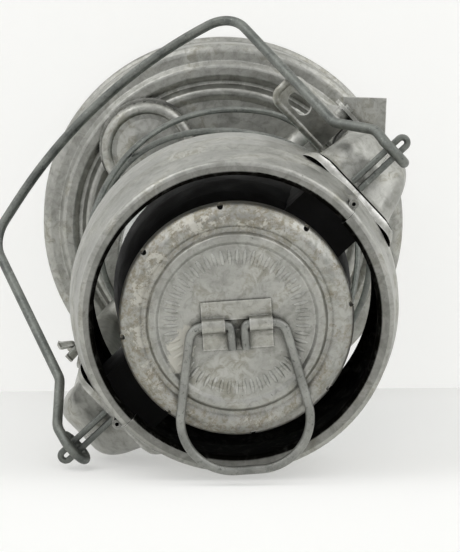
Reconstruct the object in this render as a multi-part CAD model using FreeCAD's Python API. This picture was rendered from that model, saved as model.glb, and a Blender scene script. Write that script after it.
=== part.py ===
import FreeCAD, Part
import math
import os
from FreeCAD import Vector

# Small cold-blast hurricane lantern, standing upright on its tank.
# Millimetres. +Z is up, the origin is the middle of the tank's foot, -Y is the
# filler side, +X the wick knob's side and -X the globe lever's side.

# General sizes
sheet = 0.8
seat_gap = 0.1
running_gap = 0.06
body_gap = 0.3
pin_grip_gap = 0.01

# Tank
tank_radius = 74.4
tank_wall_radius = 72.8
tank_shoulder_z = 31.6
tank_step_z = 34.0
tank_groove_z = 32.4
tank_ridge_z = 36.6
tank_top_z = 35.4
tank_hem_height = 5.6
tank_hem_slope = 1.6
tank_shoulder_width = 6.4
tank_step_width = 5.6
tank_groove_width = 3.6
tank_ridge_width = 3.9
tank_slope = 2.0
tank_bend = 1.1
foot_inset = 3.2
foot_height = 3.4

# Filler neck, its cork and its screw cap
filler_inset = 29.0
neck_radius = 13.0
neck_wall = 1.5
neck_height = 9.0
neck_flange = 2.2
filler_pad_radius = 19.6
cap_radius = 18.4
cap_wall = 1.0
cap_height = 12.1
cap_flutes = 28
cork_thickness = 1.4
cork_border = 3.0
cap_dome = 1.2
cap_dome_radius = 12.2
cap_groove_radius = 14.4
cap_rim_width = 3.2
cap_flute_depth = 0.4
cap_flute_radius = 0.75

# Burner
burner_radius = 13.3
burner_height = 21.0
collar_wall = 1.8
collar_height = 4.5
cone_radius = 17.0
cone_height = 23.0
cone_slot_length = 17.0
cone_slot_width = 6.0
wick_width = 13.0
wick_thickness = 2.4
wick_clearance = 0.35
wick_tube_wall = 0.7
wick_proud = 2.0
wick_tube_inset = 5.0
wick_tube_lip = 3.0
burner_skirt = 2.0
wick_tail_z = 12.0
spur_radius = 4.6
spur_thickness = 0.9
spur_teeth = 10
spur_tooth = 1.3
spur_spacing = 6.4
spur_gap = 0.2
wick_shaft_diameter = 2.4
wick_shaft_z = 50.0
knob_reach = 79.6
knob_radius = 7.2
knob_lobes = 6
knob_lobe_width = 3.4
knob_dish = 5.0
knob_sheet = 1.0
knob_boss_wall = 1.2
knob_boss_length = 2.5
wick_shaft_tail = 2.0

# Air chamber and the two side tubes
chamber_radius = 24.4
chamber_height = 26.0
tube_x = 60.5
tube_width = 21.0
tube_depth = 12.5
tube_bottom_bend = 16.0
tube_top_bend = 18.0
tube_shoulder_z = 192.0
tube_top_turn = 60.0
tube_top_run = 6.0

# Globe, its plate and its guard
plate_radius = 35.0
plate_hole_radius = 18.6
plate_lip = 2.6
perforation_radius = 1.4
perforation_rings = (21.2, 24.8)
perforation_pitch = 4.9
globe_foot_radius = 31.0
globe_belly_radius = 40.0
globe_top_radius = 24.5
globe_height = 124.2
globe_wall = 2.2
globe_foot_height = 6.0
guard_wire = 2.2
guard_radius = 49.0
guard_tilt_height = 51.4
lug_width = 9.0
carriage_lift = 14.0

# Crown ring, chimney and air boxes
crown_top_z = 245.0
crown_height = 58.5
crown_rim_radius = 47.2
crown_front_rim = 4.4
crown_rear_rim = 5.0
rim_lip = 3.0
crown_neck_radius = 49.2
crown_bulge_radius = 51.4
crown_neck_height = 16.0
seam_y = 0.8
seam_gap = 0.12
seam_roll = 1.5
seam_roll_bore = 0.6
seam_roll_length = 10.8
drain_radius = 1.4
drain_slant = 2.2
drain_rise = 5.0
shoulder_play = 0.45
shoulder_skirt = 5.0
shoulder_flare = 16.0
shoulder_rise = 6.5
shoulder_corner = 5.4
shoulder_run = 11.0
chimney_radius = 38.6
chimney_collar_radius = 27.0
chimney_collar_top = 5.0
chimney_shoulder = 15.5
chimney_ledge = 3.2
air_box_width = 22.0
air_box_top = 23.5

# Hood: the moving cap, its flue and the seat that holds the globe down
hood_radius = 35.0
hood_skirt = 8.5
hood_rise = 5.8
hood_notches = 8
hood_notch_radius = 0.9
flue_clearance = 0.6
flue_windows = 8
flue_window_height = 5.5
seat_lip = 5.0
spring_wire = 1.2
spring_turns = 5

# Lift ring and its hinge strap
ring_wire = 2.7
ring_angle = 50.5
ring_offset = 0.4
ring_root_width = 27.4
ring_foot_width = 45.4
ring_length = 43.8
ring_lean = 1.0
ring_corner = 15.5
ring_shoulder = 4.0
strap_length = 20.8
strap_front = 7.4
strap_back = 7.0
strap_window = 7.3
ring_tail = 7.3

# Bail and its eyes
bail_wire = 3.2
bail_length = 96.0
bail_end_x = 68.0
bail_leg_x = 59.4
bail_neck = 7.0
bail_leg_start = 20.2
bail_corner_x = 55.2
bail_corner_back = 11.9
bail_peak_shift = 2.5
bail_corner_bend = 13.0
bail_leg_bend = 6.0
bail_arch_slope = 20.0
bail_lean = 0.061
bail_rest_angle = 135.0
bail_curl_bore = 6.6
bail_curl_turn = 285.0
eye_wire = 2.0
eye_gap = 3.2
eye_reach = 74.4
eye_z = 217.6
eye_y = -1.0

# Globe lever
lever_sheet = 1.2
lever_pin = 3.0
lever_pivot_y = -15.0
lever_pivot_z = 172.0
lever_arm = 16.0
ear_spread = 11.7
ear_radius = 4.6
pedal_width = 12.4
pedal_length = 22.4
pedal_corner = 4.6
pedal_heel = 2.5
pedal_rise = 13.2
pedal_shift = 3.7
pedal_root_rise = 7.0
pedal_hole_width = 5.2
pedal_hole_length = 9.0
pedal_hole_border = 2.4
pedal_bead = 2.4
finger_wire = 2.6
bracket_height = 12.0
thumb_rest_length = 13.0
thumb_rest_width = 14.2

# Heights that follow from the sizes above
filler_offset = tank_wall_radius - filler_inset
tank_roof_z = tank_top_z + sheet / 2
chamber_top_z = tank_roof_z + chamber_height
plate_z = chamber_top_z + body_gap
globe_base_z = plate_z + sheet + body_gap
globe_top_z = globe_base_z + globe_height
crown_base_z = crown_top_z - crown_height
hood_seat_z = globe_top_z + body_gap
hood_top_z = crown_top_z + hood_rise
burner_top_z = tank_roof_z + burner_height
cone_top_z = burner_top_z + cone_height
burner_low_z = tank_top_z - sheet / 2 - burner_skirt
wick_tube_top_z = cone_top_z - wick_tube_inset
shaft_y = -(wick_thickness / 2 + spur_gap + spur_radius)
finger_z = lever_pivot_z - carriage_lift / 2
guard_middle_z = finger_z + finger_wire / 2 + body_gap + guard_wire / 2 - guard_tilt_height
flue_radius = chimney_collar_radius - sheet / 2 - flue_clearance
outer_guard_radius = guard_radius + guard_wire + running_gap


def unit(start, end):
    """Direction from one point to another."""
    step = end - start
    return step / step.Length


def bent_path(points, bends):
    """Straight runs joined by tangent arcs; bends holds one radius per inner point."""
    edges = []
    here = points[0]
    for index in range(1, len(points) - 1):
        corner = points[index]
        radius = bends[index - 1]
        back = unit(corner, points[index - 1])
        ahead = unit(corner, points[index + 1])
        inside = back.getAngle(ahead)
        if radius <= 0 or abs(inside - math.pi) < 1e-6:
            edges.append(Part.LineSegment(here, corner).toShape())
            here = corner
            continue
        reach = radius / math.tan(inside / 2)
        enter = corner + back * reach
        leave = corner + ahead * reach
        middle_line = (back + ahead).normalize()
        middle = corner + middle_line * (radius / math.sin(inside / 2) - radius)
        if (enter - here).Length > 1e-6:
            edges.append(Part.LineSegment(here, enter).toShape())
        edges.append(Part.Arc(enter, middle, leave).toShape())
        here = leave
    edges.append(Part.LineSegment(here, points[-1]).toShape())
    return edges


def rod(points, bends, diameter):
    """Round wire bent along a path."""
    ring = Part.Wire(Part.makeCircle(diameter / 2, points[0], unit(points[0], points[1])))
    return Part.Wire(bent_path(points, bends)).makePipeShell([ring], True, False)


def shifted_line(points, shift):
    """A flat polyline moved sideways, mitred at its corners."""
    moved = []
    for index, point in enumerate(points):
        turns = []
        if index > 0:
            turns.append(unit(points[index - 1], point))
        if index < len(points) - 1:
            turns.append(unit(point, points[index + 1]))
        normals = [Vector(-turn.y, turn.x, 0) for turn in turns]
        across = (normals[0] + normals[-1]).normalize()
        moved.append(point + across * (shift / across.dot(normals[0])))
    return moved


def sheet_face(points, bends, thickness=sheet):
    """Edge-on face of a bent sheet, from the middle line of its section."""
    line = [Vector(a, b, 0) for a, b in points]
    left = shifted_line(line, thickness / 2)
    right = shifted_line(line, -thickness / 2)
    left_bends = []
    right_bends = []
    for index, radius in enumerate(bends):
        before = unit(line[index], line[index + 1])
        after = unit(line[index + 1], line[index + 2])
        side = 1 if before.cross(after).z > 0 else -1
        left_bends.append(max(radius - side * thickness / 2, 0))
        right_bends.append(max(radius + side * thickness / 2, 0))
    edges = bent_path(left, left_bends)
    edges.append(Part.LineSegment(left[-1], right[-1]).toShape())
    edges += bent_path(right[::-1], right_bends[::-1])
    edges.append(Part.LineSegment(right[0], left[0]).toShape())
    return Part.Face(Part.Wire(edges))


def stand_up(shape):
    """Turn a shape drawn in radius and height into the XZ plane."""
    turned = shape.copy()
    turned.rotate(Vector(0, 0, 0), Vector(1, 0, 0), 90)
    return turned


def spun(face, turn=360):
    """Solid of revolution about Z, from a face drawn in radius and height."""
    return stand_up(face).revolve(Vector(0, 0, 0), Vector(0, 0, 1), turn)


def spun_sheet(points, bends, thickness=sheet):
    """Spun or pressed round sheet part, from its middle line in radius and height."""
    return spun(sheet_face(points, bends, thickness))


def drum(radius, low, high, x=0, y=0):
    """Solid round bar between two heights."""
    return Part.makeCylinder(radius, high - low, Vector(x, y, low))


def ring_solid(outer, inner, low, high, x=0, y=0):
    """Round tube between two heights."""
    return drum(outer, low, high, x, y).cut(drum(inner, low - 1, high + 1, x, y))


def block(low, high):
    """Box between two corners."""
    return Part.makeBox(high[0] - low[0], high[1] - low[1], high[2] - low[2], Vector(*low))


def fused(first, *others):
    """One solid from touching or crossing solids."""
    return first.fuse(list(others)).removeSplitter()


def turned(shape, angle, centre=Vector(0, 0, 0), axis=Vector(0, 0, 1)):
    """Copy of a shape turned about an axis."""
    copy = shape.copy()
    copy.rotate(centre, axis, angle)
    return copy


def mirrored_x(shape):
    """Copy of a shape on the other side of the lantern."""
    return shape.mirror(Vector(0, 0, 0), Vector(1, 0, 0))


def evenly(count, start=0):
    """Angles of equal steps round a circle."""
    return [start + index * 360 / count for index in range(count)]


def biarc(start, start_way, end, end_way):
    """Two tangent arcs between two points with given directions."""
    chord = end - start
    ways = start_way + end_way
    spread = 2 * (1 - start_way.dot(end_way))
    along = chord.dot(ways)
    reach = (-along + math.sqrt(along * along + spread * chord.dot(chord))) / spread
    meet = (start + start_way * reach + end - end_way * reach) / 2
    arcs = []
    for first, corner, last in (
        (start, start + start_way * reach, meet),
        (meet, end - end_way * reach, end),
    ):
        share = unit(first, corner).dot(unit(first, last))
        middle = (first + last) / 2 * (1 / (1 + share)) + corner * (share / (1 + share))
        arcs.append(Part.Arc(first, middle, last).toShape())
    return arcs


def coil(radius, low, high, turns, diameter):
    """Compression spring about Z, wound as quarter-turn biarcs."""
    steps = 4 * turns
    climb = (high - low) / steps
    rise = climb / (math.pi / 2 * radius)
    points = []
    ways = []
    for index in range(steps + 1):
        angle = index * math.pi / 2
        points.append(Vector(radius * math.cos(angle), radius * math.sin(angle), low + index * climb))
        ways.append(Vector(-math.sin(angle), math.cos(angle), rise).normalize())
    edges = []
    for index in range(steps):
        edges += biarc(points[index], ways[index], points[index + 1], ways[index + 1])
    ring = Part.Wire(Part.makeCircle(diameter / 2, points[0], ways[0]))
    middle = Part.Wire(edges)
    print("spring's least gap to itself", round(least_gap(middle, radius, diameter), 2))
    return middle.makePipeShell([ring], True, False)


def least_gap(middle, radius, diameter):
    """Smallest space between the turns of a round wire, measured on points of its middle line."""
    points = middle.discretize(int(middle.Length))
    apart = int(math.pi * radius)
    return min(
        (points[index] - other).Length - diameter
        for index in range(len(points) - apart)
        for other in points[index + apart:]
    )


def slot_wire(width, depth, centre, along):
    """Flat-sided oval section, wide along Y, at a point of a path in the XZ plane."""
    flat = (width - depth) / 2
    across = Vector(0, 1, 0)
    out = along.cross(across).normalize() * (depth / 2)
    ends = [
        centre + across * flat + out,
        centre + across * (width / 2),
        centre + across * flat - out,
        centre - across * flat - out,
        centre - across * (width / 2),
        centre - across * flat + out,
    ]
    return Part.Wire([
        Part.Arc(ends[0], ends[1], ends[2]).toShape(),
        Part.LineSegment(ends[2], ends[3]).toShape(),
        Part.Arc(ends[3], ends[4], ends[5]).toShape(),
        Part.LineSegment(ends[5], ends[0]).toShape(),
    ])


def duct(points, bends, width, depth):
    """Solid of an oval duct along a path in the XZ plane."""
    section = slot_wire(width, depth, points[0], unit(points[0], points[1]))
    return Part.Wire(bent_path(points, bends)).makePipeShell([section], True, False)


def tray_wire(width, depth, corner, centre, along):
    """Rounded rectangular section, wide along Y, at a point of a path in the XZ plane."""
    across = Vector(0, 1, 0)
    out = along.cross(across).normalize()
    slant = corner * (1 - math.sqrt(0.5))
    edges = []
    start = None
    for side, rise in ((1, 1), (1, -1), (-1, -1), (-1, 1)):
        tip = centre + across * (side * width / 2) + out * (rise * depth / 2)
        middle = tip - across * (side * slant) - out * (rise * slant)
        ends = [tip - across * (side * corner), tip - out * (rise * corner)]
        if side * rise < 0:
            ends.reverse()
        if start:
            edges.append(Part.LineSegment(start, ends[0]).toShape())
        edges.append(Part.Arc(ends[0], middle, ends[1]).toShape())
        start = ends[1]
    edges.append(Part.LineSegment(start, edges[0].Vertexes[0].Point).toShape())
    return Part.Wire(edges)


def tube_path():
    """Middle line of the side tube at +X, from the air chamber to the crown."""
    turn = math.radians(tube_top_turn)
    way = Vector(-math.sin(turn), 0, math.cos(turn))
    corner = Vector(tube_x, 0, tube_shoulder_z + tube_top_bend * math.tan(turn / 2))
    end = corner + way * (tube_top_bend * math.tan(turn / 2) + tube_top_run)
    start = Vector(chamber_radius - tube_width / 3, 0, wick_shaft_z)
    points = [start, Vector(tube_x, 0, wick_shaft_z), corner, end]
    return points, [tube_bottom_bend, tube_top_bend]


def tank_line():
    """Middle line of the tank's dome: hem, wall, shoulder, step, groove, ridge and flat roof."""
    hem = tank_radius - sheet / 2
    wall = tank_wall_radius - sheet / 2
    bands = [
        (tank_shoulder_width, tank_shoulder_z),
        (tank_step_width, tank_step_z),
        (tank_groove_width, tank_groove_z),
        (tank_ridge_width, tank_ridge_z),
    ]
    points = [(hem, 0), (hem, tank_hem_height), (wall, tank_hem_height + tank_hem_slope)]
    points.append((wall, tank_shoulder_z - tank_slope))
    radius = wall - tank_slope
    for width, height in bands:
        points.append((radius, height))
        radius -= width - tank_slope
        points.append((radius, height))
        radius -= tank_slope
    points.append((radius, tank_top_z))
    points.append((burner_radius + seat_gap, tank_top_z))
    bends = [tank_bend, tank_bend, tank_slope, tank_slope]
    return points, bends + [tank_bend] * (len(points) - 2 - len(bends))


def tank_body():
    """Pressed dome of the tank, hemmed round its foot and pierced for neck and burner."""
    dome = spun_sheet(*tank_line())
    pad_low = tank_groove_z - sheet * 2
    pad_well = filler_pad_radius - sheet
    pad = drum(filler_pad_radius, pad_low, tank_roof_z, 0, -filler_offset)
    well = drum(pad_well, 0, tank_top_z - sheet / 2, 0, -filler_offset)
    column = drum(filler_pad_radius, pad_low, tank_ridge_z + sheet, 0, -filler_offset)
    body = fused(dome.cut(column), pad.cut(well))
    return body.cut(drum(neck_radius + seat_gap, 0, tank_roof_z + sheet, 0, -filler_offset))


def tank_base():
    """Dished bottom pan that stands inside the tank's hem."""
    wall = tank_radius - sheet * 1.5 - seat_gap
    return spun_sheet(
        [
            (0, foot_height + sheet / 2),
            (wall - foot_inset - 3.0, foot_height + sheet / 2),
            (wall - foot_inset, sheet / 2),
            (wall, sheet / 2),
            (wall, tank_hem_height - 1.0),
        ],
        [1.5, 1.2, 1.2],
    )


def filler_neck():
    """Threaded spout soldered through the tank's filler pad."""
    low = tank_top_z - sheet * 1.5
    high = tank_roof_z + neck_height
    spout = ring_solid(neck_radius, neck_radius - neck_wall, low, high, 0, -filler_offset)
    foot_ring = ring_solid(
        neck_radius + neck_flange, neck_radius - neck_wall / 2, tank_roof_z, tank_roof_z + sheet,
        0, -filler_offset
    )
    return fused(spout, foot_ring)


def filler_gasket():
    """Cork washer inside the filler cap."""
    low = tank_roof_z + neck_height + body_gap
    inner = neck_radius - neck_wall - cork_border
    return ring_solid(neck_radius - seat_gap, inner, low, low + cork_thickness, 0, -filler_offset)


def filler_cap():
    """Fluted screw cap with a domed middle, a groove and a rounded rim."""
    roof = tank_roof_z + neck_height + body_gap + cork_thickness + body_gap + cap_wall / 2
    skirt = cap_radius - cap_wall / 2
    rim = cap_radius - cap_rim_width
    low = roof + cap_dome + cap_wall / 2 - cap_height
    bend = cap_wall * 0.8
    shell = spun_sheet(
        [
            (0, roof + cap_dome),
            (cap_dome_radius * 0.6, roof + cap_dome),
            (cap_dome_radius, roof),
            (cap_groove_radius, roof),
            (rim, roof + cap_dome),
            (skirt, roof + cap_dome),
            (skirt, low),
        ],
        [cap_radius * 0.3, bend, bend, bend, cap_rim_width * 0.7],
        cap_wall,
    )
    flute = drum(
        cap_flute_radius, low - cap_wall, roof - cap_dome, cap_radius + cap_flute_radius - cap_flute_depth
    )
    shell = shell.cut([turned(flute, angle) for angle in evenly(cap_flutes)])
    shell.translate(Vector(0, -filler_offset, 0))
    return shell


def burner_collar():
    """Brass ring on the tank that the burner locks into."""
    inner = burner_radius + seat_gap
    return ring_solid(inner + collar_wall, inner, tank_roof_z, tank_roof_z + collar_height)


def wick_slot(margin):
    """Upright slot through the burner that holds the wick with a margin all round."""
    half_x = wick_width / 2 + margin
    half_y = wick_thickness / 2 + margin
    return block((-half_x, -half_y, 0), (half_x, half_y, cone_top_z + 10))


def spur_windows():
    """Openings that let the spur wheels and their shaft reach the wick."""
    cuts = []
    reach = spur_radius + body_gap
    for side in (-1, 1):
        x = side * spur_spacing / 2
        half = spur_thickness / 2 + body_gap
        wheel = Part.makeCylinder(
            reach, 2 * half, Vector(x - half, shaft_y, wick_shaft_z), Vector(1, 0, 0)
        )
        cuts.append(wheel)
    return cuts


def shaft_hole(low_x, high_x):
    """Running hole for the wick shaft between two stations along X."""
    radius = wick_shaft_diameter / 2 + running_gap
    return Part.makeCylinder(
        radius, high_x - low_x, Vector(low_x, shaft_y, wick_shaft_z), Vector(1, 0, 0)
    )


def burner_body():
    """Brass cup under the cone, open below, with a slotted roof."""
    cup = drum(burner_radius, burner_low_z, burner_top_z)
    cup = cup.cut(drum(burner_radius - sheet, 0, burner_top_z - sheet))
    cup = cup.cut(wick_slot(wick_clearance + wick_tube_wall + seat_gap))
    return cup.cut(shaft_hole(0, chamber_radius))


def wick_tube():
    """Flat tube that guides the wick, windowed for the spur wheels."""
    margin = wick_clearance + wick_tube_wall
    half_x = wick_width / 2 + margin
    half_y = wick_thickness / 2 + margin
    body = block((-half_x, -half_y, burner_low_z), (half_x, half_y, wick_tube_top_z))
    half_x += wick_tube_lip
    half_y += wick_tube_lip
    lip = block((-half_x, -half_y, burner_top_z), (half_x, half_y, burner_top_z + sheet))
    return fused(body, lip).cut([wick_slot(wick_clearance)] + spur_windows())


def wick():
    """Flat cotton wick, hanging in the tank."""
    half_x = wick_width / 2
    half_y = wick_thickness / 2
    top = wick_tube_top_z + wick_proud
    return block((-half_x, -half_y, wick_tail_z), (half_x, half_y, top))


def wick_spurs():
    """Two toothed wheels that climb the wick."""
    wheels = []
    bore = wick_shaft_diameter / 2 + running_gap / 3
    for side in (-1, 1):
        outline = []
        for index in range(2 * spur_teeth):
            radius = spur_radius - spur_tooth * (index % 2)
            angle = math.pi * index / spur_teeth + math.pi / 2
            outline.append(Vector(0, radius * math.cos(angle), radius * math.sin(angle)))
        outline.append(outline[0])
        wheel = Part.Face(Part.makePolygon(outline)).extrude(Vector(spur_thickness, 0, 0))
        wheel = wheel.cut(Part.makeCylinder(bore, 9, Vector(-4, 0, 0), Vector(1, 0, 0)))
        x = side * spur_spacing / 2 - spur_thickness / 2
        wheel.translate(Vector(x, shaft_y, wick_shaft_z))
        wheels.append(wheel)
    return Part.makeCompound(wheels)


def wick_shaft():
    """Straight shaft from the spur wheels to the knob."""
    low = -spur_spacing / 2 - wick_shaft_tail
    high = knob_reach - knob_dish + knob_sheet
    return Part.makeCylinder(
        wick_shaft_diameter / 2, high - low, Vector(low, shaft_y, wick_shaft_z), Vector(1, 0, 0)
    )


def wick_knob():
    """Pressed star wheel, its lobes dished outwards."""
    hub = wick_shaft_diameter / 2 + running_gap / 3
    low = knob_reach - knob_dish
    middle = knob_radius * 0.45
    shell = spun_sheet(
        [
            (hub, low),
            (middle, low),
            (knob_radius * 0.86, low + knob_dish - knob_sheet * 1.2),
            (knob_radius, low + knob_dish - knob_sheet * 0.6),
        ],
        [knob_sheet * 1.2, knob_sheet * 1.2],
        knob_sheet,
    )
    boss = ring_solid(hub + knob_boss_wall, hub, low - knob_boss_length, low)
    foot = low - knob_boss_length - knob_sheet
    half = knob_lobe_width / 2
    lobe = block((0, -half, foot), (knob_radius * 1.3, half, knob_reach + knob_sheet))
    keep = [turned(lobe, angle) for angle in evenly(knob_lobes)]
    star = fused(shell, boss).common(drum(middle, foot, low + knob_sheet * 2).fuse(keep))
    star.rotate(Vector(0, 0, 0), Vector(0, 1, 0), 90)
    star.translate(Vector(0, shaft_y, wick_shaft_z))
    return star


def burner_cone():
    """Domed flame cone with its long slot."""
    low = burner_top_z + sheet * 1.5 + seat_gap
    shell = spun_sheet(
        [
            (burner_radius - 3.0, low),
            (cone_radius - sheet, low),
            (cone_radius - sheet, low + cone_height * 0.3),
            (cone_radius * 0.72, low + cone_height * 0.72),
            (3.0, cone_top_z),
            (0, cone_top_z),
        ],
        [1.5, 6.0, 7.0, 3.0],
    )
    half_x = cone_slot_length / 2
    half_y = cone_slot_width / 2
    slot_low = low + cone_height * 0.5
    return shell.cut(block((-half_x, -half_y, slot_low), (half_x, half_y, cone_top_z + sheet)))


def air_chamber():
    """Drum under the globe plate that both side tubes feed."""
    wall = chamber_radius - sheet / 2
    shell = spun_sheet(
        [
            (chamber_radius + 4.0, tank_roof_z + sheet / 2),
            (wall, tank_roof_z + sheet / 2),
            (wall, chamber_top_z - sheet / 2),
            (wall + 1.8, chamber_top_z - sheet / 2),
        ],
        [1.0, 1.0],
    )
    points, bends = tube_path()
    inlet = duct(points, bends, tube_width + 2 * seat_gap, tube_depth + 2 * seat_gap)
    return shell.cut([inlet, mirrored_x(inlet), filler_pad_room()])


def filler_pad_room():
    """Space that the filler cap needs beside the air chamber."""
    return drum(cap_radius + body_gap, tank_roof_z - 1, chamber_top_z + 1, 0, -filler_offset)


def side_tube():
    """Oval air tube at +X, bent in at the tank and at the crown."""
    points, bends = tube_path()
    outer = duct(points, bends, tube_width, tube_depth)
    inner_points = [points[0] - unit(points[0], points[1]) * 2] + points[1:-1]
    inner_points.append(points[-1] + unit(points[-2], points[-1]) * 2)
    inner = duct(inner_points, bends, tube_width - 2 * sheet, tube_depth - 2 * sheet)
    tube = outer.cut(inner)
    return tube.cut([crown_core(seat_gap), drum(chamber_radius - sheet - 0.4, 0, chamber_top_z)])


def tube_right():
    """Side tube on the wick knob's side, pierced for the shaft."""
    return side_tube().cut(shaft_hole(chamber_radius, knob_reach))


def tube_left():
    """Side tube on the lever's side."""
    return mirrored_x(side_tube())


def crown_line(rim_width=crown_front_rim):
    """Middle line of the crown ring's section and its corner radii."""
    top = crown_top_z - sheet / 2
    rim = crown_rim_radius - sheet / 2
    inner = crown_rim_radius - rim_width + sheet / 2
    neck_z = crown_top_z - crown_neck_height
    neck = crown_neck_radius - sheet / 2
    bulge = crown_bulge_radius - sheet / 2
    points = [
        (inner, top - rim_lip),
        (inner, top),
        (rim, top),
        (rim + 0.3, top - 4.0),
        (neck, neck_z),
        (bulge - 1.0, neck_z - 3.4),
        (bulge, neck_z - 14.0),
        (bulge, crown_base_z + 9.0),
        (bulge - 2.2, crown_base_z + 2.6),
        (bulge - 5.4, crown_base_z + sheet / 2),
    ]
    return points, [1.0, 1.2, 3.0, 1.2, 1.2, 8.0, 5.0, 3.0]


def core_of(points, bends, shift):
    """Everything between the axis and a section line moved sideways."""
    line = shifted_line([Vector(radius, height, 0) for radius, height in points], shift)
    edges = [Part.LineSegment(Vector(0, line[0].y, 0), line[0]).toShape()]
    edges += bent_path(line, bends)
    edges.append(Part.LineSegment(line[-1], Vector(0, line[-1].y, 0)).toShape())
    edges.append(Part.LineSegment(Vector(0, line[-1].y, 0), Vector(0, line[0].y, 0)).toShape())
    return spun(Part.Face(Part.Wire(edges)))


def crown_core(margin):
    """Everything inside the crown's wall, grown by a margin."""
    points, bends = crown_line()
    return core_of(points[2:], bends[2:], margin - sheet / 2)


def shoulder(grow, reach=0):
    """Flared cover over the tube's top at +X, grown all round and lengthened at both ends."""
    bend_middle = Vector(tube_x - tube_top_bend, 0, tube_shoulder_z)
    stations = [
        (0, -shoulder_skirt - reach, 0, 0),
        (0, 0, 0.03, 0.03),
        (0.25, 0, 0.08, 0.06),
        (0.5, 0, 0.16, 0.09),
        (0.75, 0, 0.26, 0.13),
        (1, 0, 0.38, 0.2),
        (1, shoulder_run / 2, 0.62, 0.5),
        (1, shoulder_run + reach, 1.0, 1.0),
    ]
    sections = []
    for share, run, spread, swell in stations:
        turn = math.radians(tube_top_turn) * share
        along = Vector(-math.sin(turn), 0, math.cos(turn))
        out = Vector(math.cos(turn), 0, math.sin(turn))
        rise = shoulder_rise * swell
        centre = bend_middle + out * (tube_top_bend + rise / 2) + along * run
        wide = tube_width + 2 * (shoulder_play + grow) + shoulder_flare * spread
        deep = tube_depth + 2 * (shoulder_play + grow) + rise
        sections.append(tray_wire(wide, deep, shoulder_corner + grow, centre, along))
    return Part.makeLoft(sections, True, False)


def crown_shell(rim_width):
    """Whole crown ring with its two shoulders, before it is split at the seams."""
    points, bends = crown_line(rim_width)
    shell = spun_sheet(points, bends)
    cover = shoulder(sheet, -0.5).cut(crown_core(sheet / 2))
    shell = shell.fuse([cover, mirrored_x(cover)])
    hollow = shoulder(0, 1.0)
    shell = shell.cut([hollow, mirrored_x(hollow)])
    bead = seam_bead()
    shell = shell.fuse([bead, mirrored_x(bead)])
    holes = eye_holes()
    shell = shell.cut([holes, mirrored_x(holes)])
    drains = shoulder_drains()
    return shell.cut([drains, mirrored_x(drains)])


def seam_bead():
    """Rolled end of the seam below the rim, at +X on the front half."""
    radius = crown_rim_radius + seam_roll - seam_gap
    high = crown_top_z - rim_lip
    y = seam_y - seam_gap / 2 - seam_roll
    return ring_solid(seam_roll, seam_roll_bore, high - seam_roll_length, high, radius, y)


def eye_legs(radius, start_x):
    """The two straight legs of the eye at +X, from a station along X to the bend."""
    bend_x = eye_reach - eye_wire / 2 - eye_gap / 2
    legs = []
    for side in (-1, 1):
        foot = Vector(start_x, eye_y + side * eye_gap / 2, eye_z)
        legs.append(Part.makeCylinder(radius, bend_x - start_x, foot, Vector(1, 0, 0)))
    return legs


def eye_holes():
    """Holes through the crown and its shoulder for the eye's legs."""
    legs = eye_legs(eye_wire / 2 + running_gap, crown_rim_radius - 2)
    return Part.makeCompound(legs)


def shoulder_drains():
    """Small slanting drain in the front of the shoulder at +X."""
    wall = tube_width / 2 + seat_gap + shoulder_flare / 2
    first = Vector(tube_x, -wall, tube_shoulder_z + drain_rise)
    second = first + Vector(-drain_slant, 0, drain_slant / 2)
    way = Vector(0, 1, 0)
    depth = shoulder_flare / 2
    return fused(*[Part.makeCylinder(drain_radius, depth, spot, way) for spot in (first, second)])


def crown_front():
    """Front half of the crown, parted at the seams."""
    reach = tube_x + tube_width
    keep = block((-reach, -reach, crown_base_z - reach), (reach, seam_y - seam_gap / 2, crown_top_z + 1))
    return crown_shell(crown_front_rim).common(keep)


def crown_rear():
    """Rear half of the crown, its rim a little wider than the front's."""
    reach = tube_x + tube_width
    keep = block((-reach, seam_y + seam_gap / 2, crown_base_z - reach), (reach, reach, crown_top_z + 1))
    return crown_shell(crown_rear_rim).common(keep)


def chimney_line():
    """Middle line of the fixed chimney's section, ridged like a spun cone."""
    top = crown_top_z - chimney_collar_top
    shoulder = crown_top_z - chimney_shoulder
    ridges = 3
    step = (shoulder - chimney_ledge - crown_base_z) / ridges
    wide = chimney_radius - sheet / 2
    slope = (wide - chimney_collar_radius - chimney_ledge * 1.5) / ridges
    points = [(wide - 1.0, crown_base_z), (wide, crown_base_z + 2.0)]
    for index in range(1, ridges + 1):
        radius = wide - slope * index
        height = crown_base_z + step * index
        points.append((radius, height - 1.8))
        points.append((radius + 0.5, height))
    points.append((chimney_collar_radius, shoulder))
    points.append((chimney_collar_radius, top))
    return points, [1.2] * (len(points) - 3) + [1.5]


def chimney():
    """Fixed chimney cone with the collar that guides the flue."""
    points, bends = chimney_line()
    return spun_sheet(points, bends)


def chimney_core(margin):
    """The space that the chimney fills, grown by a margin."""
    points, bends = chimney_line()
    return core_of(points, bends, -margin - sheet / 2)


def air_box():
    """Sheet channel at +X that ties the chimney to the crown over the tube's mouth."""
    half = air_box_width / 2
    top = crown_top_z - air_box_top
    low = crown_base_z + 4.0
    outer = block((0, -half, low), (crown_bulge_radius, half, top))
    inner = block((0, -half + sheet, low - 1), (crown_bulge_radius, half - sheet, top - sheet))
    channel = outer.cut(inner)
    path, bends = tube_path()
    mouth = duct(path, bends, tube_width + 2 * seat_gap, tube_depth + 2 * seat_gap)
    channel = channel.cut([chimney_core(seat_gap), mouth, eye_room()])
    return channel.common(crown_core(-seat_gap))


def eye_room():
    """Space round the ends of the eye's legs inside the crown."""
    return Part.makeCompound(eye_legs(eye_wire / 2 + running_gap, chimney_radius))


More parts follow.
